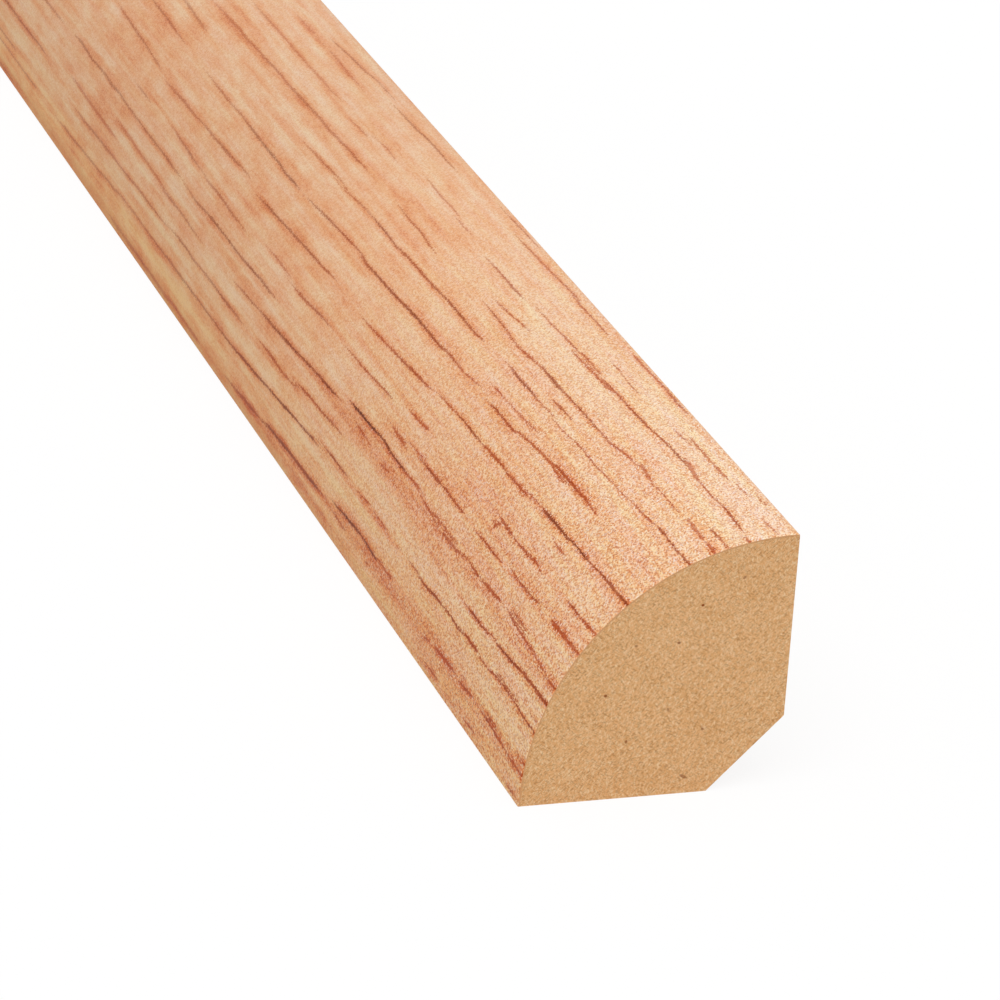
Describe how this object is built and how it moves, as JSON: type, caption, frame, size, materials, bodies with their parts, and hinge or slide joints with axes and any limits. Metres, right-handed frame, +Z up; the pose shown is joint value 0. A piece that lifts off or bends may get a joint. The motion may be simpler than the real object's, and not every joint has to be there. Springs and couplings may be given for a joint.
{
  "type": "quarter round moulding",
  "caption": "Straight quarter round trim strip: fibreboard core with a wood-grain skin on its round face and a bevelled inner corner, covering the joint between floor and wall.",
  "frame": {"origin": "middle of the strip's bounding box, on the floor plane", "axes": "+X along the length, +Y towards the wall, +Z up; the flat floor face lies on Z = 0 and the flat wall face is at the largest Y"},
  "size_m": [2.3876, 0.019, 0.0191],
  "materials": {
    "fibreboard": "matte",
    "printed_skin": "satin"
  },
  "bodies": {
    "root": {"mdf_core": "fibreboard", "wood_grain_skin": "printed_skin"}
  },
  "joints": []
}
